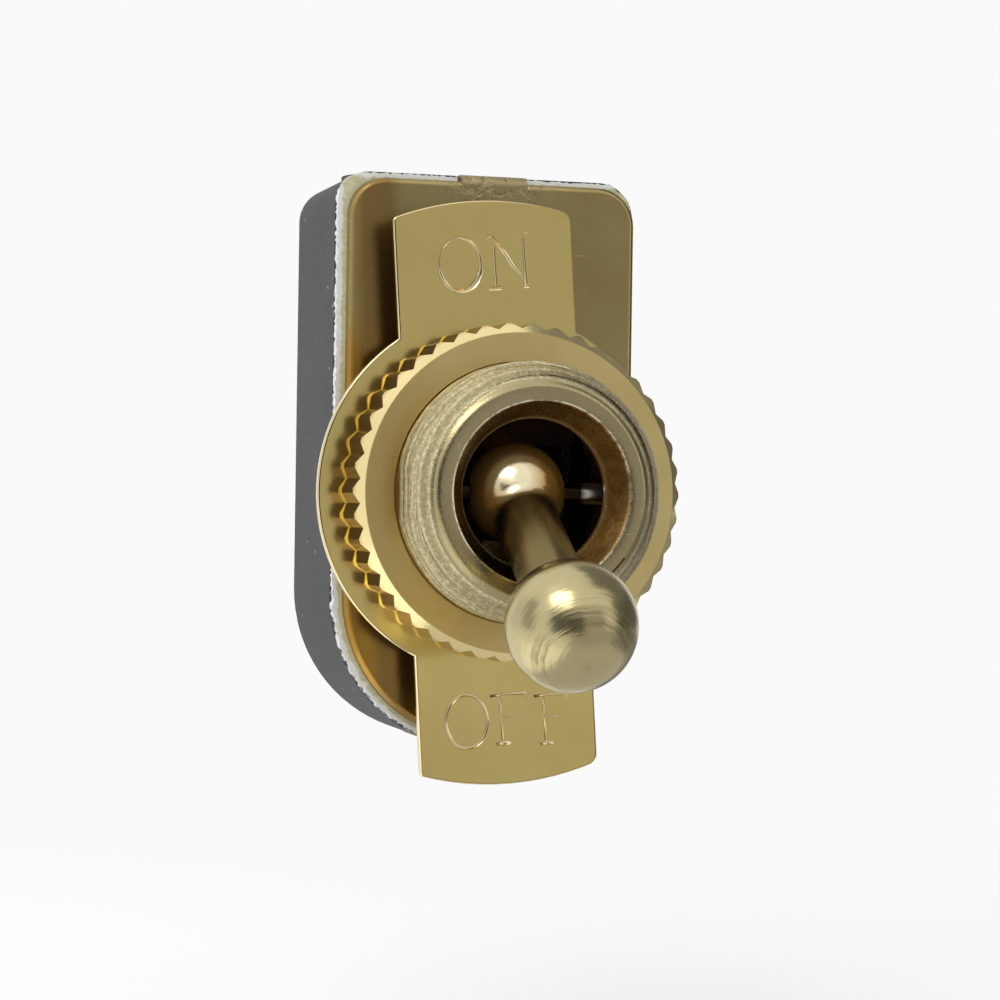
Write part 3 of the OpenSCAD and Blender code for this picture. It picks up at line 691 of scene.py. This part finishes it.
dressing = {
    "case": "caseMoulding", "fibre_gasket": "fibrePaper", "cover_plate": "coverBrass",
    "bushing": "bushingBrass", "jam_nut": "jamNutBrass", "indicator_plate": "plateBrass",
    "ring_nut": "nutBrass", "lever": "leverBrass", "pivot_pin": "pinSteel",
    "contact_carrier": "carrierMoulding", "bridge_contact": "stripBrass",
    "bridge_button_left": "contactSilver", "bridge_button_right": "contactSilver",
    "contact_spring_left": "springSteel", "contact_spring_right": "springSteel",
    "terminal_left": "stripBrass", "terminal_right": "stripBrass",
    "fixed_contact_left": "contactSilver", "fixed_contact_right": "contactSilver",
    "terminal_rivet_left": "stripBrass", "terminal_rivet_right": "stripBrass",
}


def dress(piece, finish):
    piece.data.materials.clear()
    piece.data.materials.append(finishes[finish])


for node, finish in dressing.items():
    dress(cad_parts[node], finish)
print("CAD pieces dressed")


# helpers for new pieces

tiny = 0.0005 * mm      # points nearer than this are one point


def finished(name, bm, finish, angle=35):
    mesh = meshFrom(bm, name)
    mesh.shade_smooth()
    mesh.set_sharp_from_angle(angle=math.radians(angle))
    piece = linked(name, mesh)
    dress(piece, finish)
    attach(piece, "housing")
    return piece


def bakedMesh(piece):
    # what the modifiers or the curve's bevel make, as a plain mesh
    return bpy.data.meshes.new_from_object(piece.evaluated_get(bpy.context.evaluated_depsgraph_get()))


def roundCurve(name, radius, resolution):
    curve = bpy.data.curves.new(name, "CURVE")
    curve.dimensions = "3D"
    curve.bevel_depth = radius * mm
    curve.bevel_resolution = resolution
    curve.use_fill_caps = True
    return curve


def meshOfCurve(curve):
    piece = linked(curve.name, curve)
    mesh = bakedMesh(piece)
    bpy.data.objects.remove(piece)
    return mesh


def cutAway(piece, cutterMesh):
    cutter = linked("cutter", cutterMesh)
    cut = piece.modifiers.new("cut", "BOOLEAN")
    cut.operation = "DIFFERENCE"
    cut.solver = "EXACT"
    cut.use_self = True
    cut.object = cutter
    mesh = bakedMesh(piece)
    piece.modifiers.clear()
    piece.data = mesh
    bpy.data.objects.remove(cutter)


def outlineRing(bm, points, closed=False):
    # points of radius and height in mm, joined by edges, ready to spin round the bushing's axis
    ring = [bm.verts.new((r * mm, -z * mm, 0)) for r, z in points]
    return ring + [bm.edges.new(pair) for pair in zip(ring, ring[1:] + (ring[:1] if closed else []))]


def bevelled(bm, geom, offset, segments, affect="EDGES"):
    bmesh.ops.bevel(bm, geom=geom, affect=affect, offset=offset * mm, segments=segments, profile=0.5,
                    material=-1)


# bushing with its thread

barrel = {
    "steps": 144,
    # radius and height of the outline, outside from the flange up to the mouth, then down the bore
    "outside": [(5.35, -0.9), (6.45, -0.9), (6.45, -0.52), (5.94, -0.52), (5.94, 0), (5.5, 0), (5.5, 7.35),
                (5.44, 7.62), (5.2, 7.93), (4.86, 8.24), (4.76, 8.29), (4.7, 8.3), (4.16, 8.3), (4.1, 8.27),
                (4.06, 8.2)],
    "inside": [(3.4, 7.05), (3.35, 6.98), (3.35, 6.7), (4.7, 6.4), (4.7, 1.5), (5.35, -0.9)],
    # the thread's ridge: where it begins, its rise in a turn, and radius and height of its section
    "from": 4.9, "pitch": 0.794, "turns": 3.9, "perTurn": 160,
    "section": [(5.45, -0.39), (5.89, -0.15), (5.94, -0.08), (5.94, 0.08), (5.89, 0.15), (5.45, 0.39)],
    # how far the thread's crest may reach at each height, out to the chamfered end
    "envelope": [(5.94, 4.0), (5.94, 7.0), (5.62, 7.55), (5.25, 7.9), (4.8, 8.3)],
    "keyway": (2.7, 5.795),    # width of the slot on the left, and how far out its floor lies
    "nicks": 0.018,
    "seed": 3,
}


def reachAt(envelope, z):
    for (r0, z0), (r1, z1) in zip(envelope, envelope[1:]):
        if z <= z1:
            return r0 + (r1 - r0) * max(0, z - z0) / (z1 - z0)
    return envelope[-1][0]


def makeBushing(size):
    bm = bmesh.new()
    bmesh.ops.spin(bm, geom=outlineRing(bm, size["outside"] + size["inside"]), cent=(0, 0, 0), axis=(0, 1, 0),
                   angle=math.tau, steps=size["steps"], use_merge=True)
    bmesh.ops.remove_doubles(bm, verts=bm.verts, dist=tiny)
    bmesh.ops.recalc_face_normals(bm, faces=bm.faces)
    thread = bmesh.new()
    section = [(r, size["from"] + z) for r, z in size["section"]]
    bmesh.ops.spin(thread, geom=outlineRing(thread, section, closed=True), cent=(0, 0, 0), axis=(0, 1, 0),
                   angle=-math.tau * size["turns"], steps=round(size["turns"] * size["perTurn"]),
                   dvec=(0, -size["pitch"] * mm / size["perTurn"], 0))
    chance = random.Random(size["seed"])
    slotHalf, slotFloor = size["keyway"][0] / 2 * mm, size["keyway"][1] * mm
    for v in thread.verts:
        far = math.hypot(v.co.x, v.co.z)
        cap = (reachAt(size["envelope"], -v.co.y / mm) - size["nicks"] * chance.random()) * mm
        if far > cap:
            v.co.x *= cap / far
            v.co.z *= cap / far
        if abs(v.co.z) < slotHalf and v.co.x < -slotFloor:
            v.co.x = -slotFloor
    bmesh.ops.holes_fill(thread, edges=[e for e in thread.edges if e.is_boundary], sides=0)     # the two ends
    bmesh.ops.recalc_face_normals(thread, faces=thread.faces)
    bm.from_mesh(meshFrom(thread, "threadRidge"))
    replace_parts(finished("threadedBarrel", bm, "bushingBrass", angle=30), "bushing")


makeBushing(barrel)
print("bushing with thread")


# indicator plate with its stamped words

words = {
    "turn": 3.8, "shift": -0.3,     # degrees, and mm to the right
    "front": 2.02, "thick": 0.4,    # mm
    "edge": 0.1, "backEdge": 0.03,  # rounding of the front and back edges, mm
    "corner": (0.15, 0.4),          # rounding of the tabs' corners, left and right
    "tabsFrom": 12, "holeR": 7,     # corners lie beyond the first radius, the outer edge beyond the second
    "line": 0.105,                  # radius of the stamp's line, mm
    "lift": 0.66,                   # share of that radius which stays out of the face
    "letters": [("roundO", (-1.23, 10.64), (2.0, 2.47)), ("N", (1.19, 10.72), (1.5, 2.56)),
                ("O", (-1.97, -10.51), (2.0, 2.47)), ("F", (0.07, -10.53), (1.73, 2.3)),
                ("F", (2.14, -10.69), (1.62, 2.3))],
}

# strokes in a box from -0.5 to 0.5; each point has its place and how wide the line is there
strokes = {
    "N": [[(-0.5, 0.27, 0.9), (-0.48, -0.42, 0.9)],
          [(-0.55, 0.47, 0.6), (-0.1, 0.1, 1.5), (0.1, -0.1, 1.3), (0.33, -0.24, 0.7), (0.5, -0.45, 0.5)],
          [(0.45, 0.42, 0.8), (0.5, -0.42, 1.0)],
          [(-0.72, -0.5, 0.9), (-0.32, -0.48, 1.5)], [(0.42, -0.46, 1.3), (0.58, -0.46, 1.3)],
          [(-0.72, 0.42, 0.7), (-0.56, 0.48, 0.7)], [(0.52, 0.52, 0.7), (0.64, 0.5, 0.7)]],
    "F": [[(-0.5, 0.48, 0.8), (-0.1, 0.5, 0.6), (0.4, 0.5, 1.2), (0.5, 0.5, 0.8)],
          [(0.5, 0.5, 0.8), (0.5, 0.35, 0.8)],
          [(-0.22, 0.48, 0.4), (-0.22, 0.3, 0.9), (-0.22, 0.1, 0.5), (-0.2, -0.45, 0.9)],
          [(-0.24, 0.06, 1.6), (-0.2, 0.06, 1.6)], [(-0.15, 0.05, 0.5), (0.22, 0.05, 0.7)],
          [(0.27, 0.14, 1.1), (0.29, 0.14, 1.1)], [(0.31, -0.05, 1.1), (0.33, -0.05, 1.1)],
          [(-0.4, -0.5, 0.6), (-0.18, -0.48, 1.5), (0.03, -0.5, 0.8)]],
}
# how wide the round letters' lines are, by the angle in degrees
roundLines = {
    "O": [(-181, 1.0), (-60, 1.2), (0, 0.9), (60, 0.9), (120, 1.1), (181, 1.0)],
    "roundO": [(-181, 0.5), (-165, 1.2), (-128, 1.2), (-110, 0.7), (-80, 1.3), (-60, 1.9), (-15, 1.9),
               (0, 0.9), (35, 0.8), (45, 1.1), (75, 1.1), (95, 0.5), (140, 0.5), (181, 0.5)],
}


def widthAt(table, angle):
    for (a0, w0), (a1, w1) in zip(table, table[1:]):
        if angle <= a1:
            return w0 + (w1 - w0) * (angle - a0) / (a1 - a0)
    return table[-1][1]


def strokeRuns(letter):
    if letter in strokes:
        return strokes[letter]
    turns = [(math.radians(a), widthAt(roundLines[letter], a)) for a in range(-180, 180, 6)]
    return [[(0.5 * math.cos(a), 0.5 * math.sin(a), width) for a, width in turns]]


def stampMesh(size):
    curve = roundCurve("stamp", size["line"], 6)
    for letter, (midX, midZ), (wide, high) in size["letters"]:
        for run in strokeRuns(letter):
            spline = curve.splines.new("POLY")
            spline.points.add(len(run) - 1)
            spline.use_cyclic_u = letter not in strokes
            for point, (x, z, width) in zip(spline.points, run):
                out = size["front"] + size["lift"] * size["line"] * width
                point.co = ((midX + x * wide) * mm, -out * mm, (midZ + z * high) * mm, 1)
                point.radius = width
    mesh = meshOfCurve(curve)
    mesh.transform(Matrix.Translation((size["shift"] * mm, 0, 0))
                   @ Matrix.Rotation(math.radians(-size["turn"]), 4, "Y"))
    return mesh


def makePlate(size):
    bm = bmesh.new()
    bm.from_mesh(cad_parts["indicator_plate"].data)
    bmesh.ops.remove_doubles(bm, verts=bm.verts, dist=tiny)
    bmesh.ops.dissolve_limit(bm, angle_limit=math.radians(1), verts=bm.verts, edges=bm.edges)
    front, back = -size["front"] * mm, (size["thick"] - size["front"]) * mm

    def folded(e, degrees):
        return e.is_valid and len(e.link_faces) == 2 and e.calc_face_angle() > math.radians(degrees)

    def outerEdges(face):
        return [e for e in bm.edges if folded(e, 60) and all(abs(v.co.y - face) < size["edge"] / 2 * mm
                and v.co.xz.length > size["holeR"] * mm for v in e.verts)]

    upright = [e for e in bm.edges if abs(e.verts[0].co.y - e.verts[1].co.y) > size["thick"] * 0.75 * mm]
    for side, radius in zip((-1, 1), size["corner"]):
        corners = [e for e in upright if folded(e, 50) and e.verts[0].co.xz.length > size["tabsFrom"] * mm
                   and e.verts[0].co.x * side > 0]
        bevelled(bm, corners, radius, 5)
    bevelled(bm, outerEdges(front), size["edge"], 5)
    bevelled(bm, outerEdges(back), size["backEdge"], 2)
    piece = finished("stampedPlate", bm, "plateBrass")
    cutAway(piece, stampMesh(size))
    piece.data.set_sharp_from_angle(angle=math.radians(30))
    for f in piece.data.polygons:
        f.use_smooth = abs(f.normal.y) < 0.9999      # the faces stay flat
    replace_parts(piece, "indicator_plate")


makePlate(words)
print("indicator plate stamped")


# fibre insulator with its frayed edge

fibre = {
    "middle": -0.17, "half": 7.32, "top": 14.92, "roundAt": -4.8, "corner": 1.3, "hole": 6.53,
    "back": 0.9, "front": 0.5,
    "step": 0.12,                    # length of the outline's edges, mm
    "ragged": 0.07, "sway": (-1.0, 0.35),       # how far the edge sways in and out, as shares of ragged
    "lowLeft": 1.6,                  # the lower left is that much more ragged
    "tuck": 0.2, "tuckFrom": 0.4,    # the right edge lies tidy behind the cover
    "tab": (3.4, 14.46, -11.61),     # width of the crimp tabs' notches, and where the top and low ones start
    "seed": 7,
}
hairs = {
    "count": 900, "length": (0.15, 0.5), "radius": 0.012,      # mm
    "lean": 35, "out": 0.6,          # degrees away from the edge, and the share of that which shows
    "rightSide": (0.3, 0.25),        # past this much to the right, a share of the lean is left
    "inward": 0.26,                  # how far in from the edge a hair may start, mm
    "rise": (-0.35, 0.25), "curl": 0.06, "tip": 0.5,
    "ways": (0, 0.33, 0.67, 1),
    "seed": 8,
}


def alongEdge(size, chance):
    # a point on the cut edge and the way out of the sheet there
    straight = size["top"] - size["roundAt"]
    arc = math.pi * size["half"]
    way = chance.random() * (2 * straight + arc)
    if way < arc:
        a = way / size["half"]
        out = Vector((math.cos(a), 0, -math.sin(a)))
        return Vector((size["middle"], 0, size["roundAt"])) + out * size["half"], out
    side = 1 if way < arc + straight else -1
    height = size["roundAt"] + chance.random() * (straight - size["corner"])
    return Vector((size["middle"] + side * size["half"], 0, height)), Vector((side, 0, 0))


def makeHairs(size, sheet):
    chance = random.Random(size["seed"])
    curve = roundCurve("strands", size["radius"], 0)
    for k in range(size["count"]):
        root, out = alongEdge(sheet, chance)
        along = Vector((out.z, 0, -out.x))
        length = chance.uniform(*size["length"])
        lean = math.radians(chance.uniform(-size["lean"], size["lean"]))
        if chance.random() < 0.5:
            lean += math.pi
        hidden = size["rightSide"][1] if out.x > size["rightSide"][0] else 1.0
        way = along * math.cos(lean) + out * math.sin(lean) * size["out"] * hidden
        way += Vector((0, chance.uniform(*size["rise"]), 0))
        root = root - out * (chance.uniform(0.0, size["inward"]) + sheet["tuck"] * (1 - hidden))
        root += Vector((0, chance.uniform(sheet["front"] - 0.01, sheet["back"]), 0))
        curl = Vector([chance.uniform(-size["curl"], size["curl"]) for _ in range(3)])
        spline = curve.splines.new("POLY")
        spline.points.add(len(size["ways"]) - 1)
        for point, t in zip(spline.points, size["ways"]):
            point.co = (*((root + way * length * t + curl * (4 * t * (1 - t))) * mm), 1)
            point.radius = 1 - size["tip"] * t
    bm = bmesh.new()
    bm.from_mesh(meshOfCurve(curve))
    bmesh.ops.remove_doubles(bm, verts=bm.verts, dist=tiny / 5)      # closes the ends
    bmesh.ops.recalc_face_normals(bm, faces=bm.faces)
    finished("fibreHairs", bm, "fibrePaper", angle=60)


def cutOutline(bm, size):
    # the sheet's back face: a half-round low end, two straight sides and a top with rounded corners
    y = size["back"] * mm
    middle, half, roundAt, top = (size[k] * mm for k in ("middle", "half", "roundAt", "top"))
    start = bm.verts.new((middle + half, y, roundAt))
    bmesh.ops.spin(bm, geom=[start], cent=(middle, y, roundAt), axis=(0, 1, 0), angle=math.pi,
                   steps=round(math.pi * size["half"] / size["step"]))
    end = min(bm.verts, key=lambda v: (v.co - Vector((middle - half, y, roundAt))).length)
    corners = [bm.verts.new((middle + side * half, y, top)) for side in (-1, 1)]
    for pair in ((end, corners[0]), (corners[0], corners[1]), (corners[1], start)):
        bm.edges.new(pair)
    bmesh.ops.contextual_create(bm, geom=list(bm.edges))
    bevelled(bm, corners, size["corner"], 14, affect="VERTICES")
    for e in [e for e in bm.edges if e.calc_length() > 0.5 * mm]:
        bmesh.ops.subdivide_edges(bm, edges=[e], cuts=round(e.calc_length() / (size["step"] * mm)))


def fray(bm, size):
    middle, half, roundAt = (size[k] * mm for k in ("middle", "half", "roundAt"))
    top, corner = size["top"] * mm, size["corner"] * mm
    chance = random.Random(size["seed"])
    for v in bm.verts:
        aside, above = v.co.x - middle, v.co.z - (top - corner)
        if above > 0:       # the top edge and its two corners
            out = Vector((math.copysign(max(abs(aside) - (half - corner), 0), aside), 0, above)).normalized()
        else:
            out = Vector((aside, 0, min(v.co.z - roundAt, 0))).normalized()
        ragged = size["ragged"] * (size["lowLeft"] if v.co.x < 0 and v.co.z < roundAt else 1.0)
        tuck = size["tuck"] * min(max(out.x, 0) / size["tuckFrom"], 1)
        v.co += out * (chance.uniform(*size["sway"]) * ragged - tuck) * mm


def holeMesh(size):
    # the round hole over the bushing's flange and the notches for the crimp tabs
    bm = bmesh.new()
    radius = size["hole"] * mm
    bmesh.ops.create_cone(bm, cap_ends=True, segments=96, radius1=radius, radius2=radius, depth=4 * mm)
    bmesh.ops.rotate(bm, verts=bm.verts, matrix=Matrix.Rotation(math.radians(90), 3, "X"))
    width, high, low = size["tab"]
    for z0, z1 in ((high, high + 3), (low - 3, low)):
        made = bmesh.ops.create_cube(bm, size=1 * mm)["verts"]
        bmesh.ops.scale(bm, verts=made, vec=(width, 4, z1 - z0))
        bmesh.ops.translate(bm, verts=made, vec=(0, 0, (z0 + z1) / 2 * mm))
    return meshFrom(bm, "hole")


def makeFibre(size):
    bm = bmesh.new()
    cutOutline(bm, size)
    grown = bmesh.ops.extrude_face_region(bm, geom=list(bm.faces))
    verts = [g for g in grown["geom"] if isinstance(g, bmesh.types.BMVert)]
    bmesh.ops.translate(bm, verts=verts, vec=(0, (size["front"] - size["back"]) * mm, 0))
    bmesh.ops.recalc_face_normals(bm, faces=bm.faces)
    fray(bm, size)
    piece = finished("fibreSheet", bm, "fibrePaper", angle=60)
    cutAway(piece, holeMesh(size))
    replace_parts(piece, "fibre_gasket")


makeFibre(fibre)
makeHairs(hairs, fibre)
print("fibre sheet frayed")
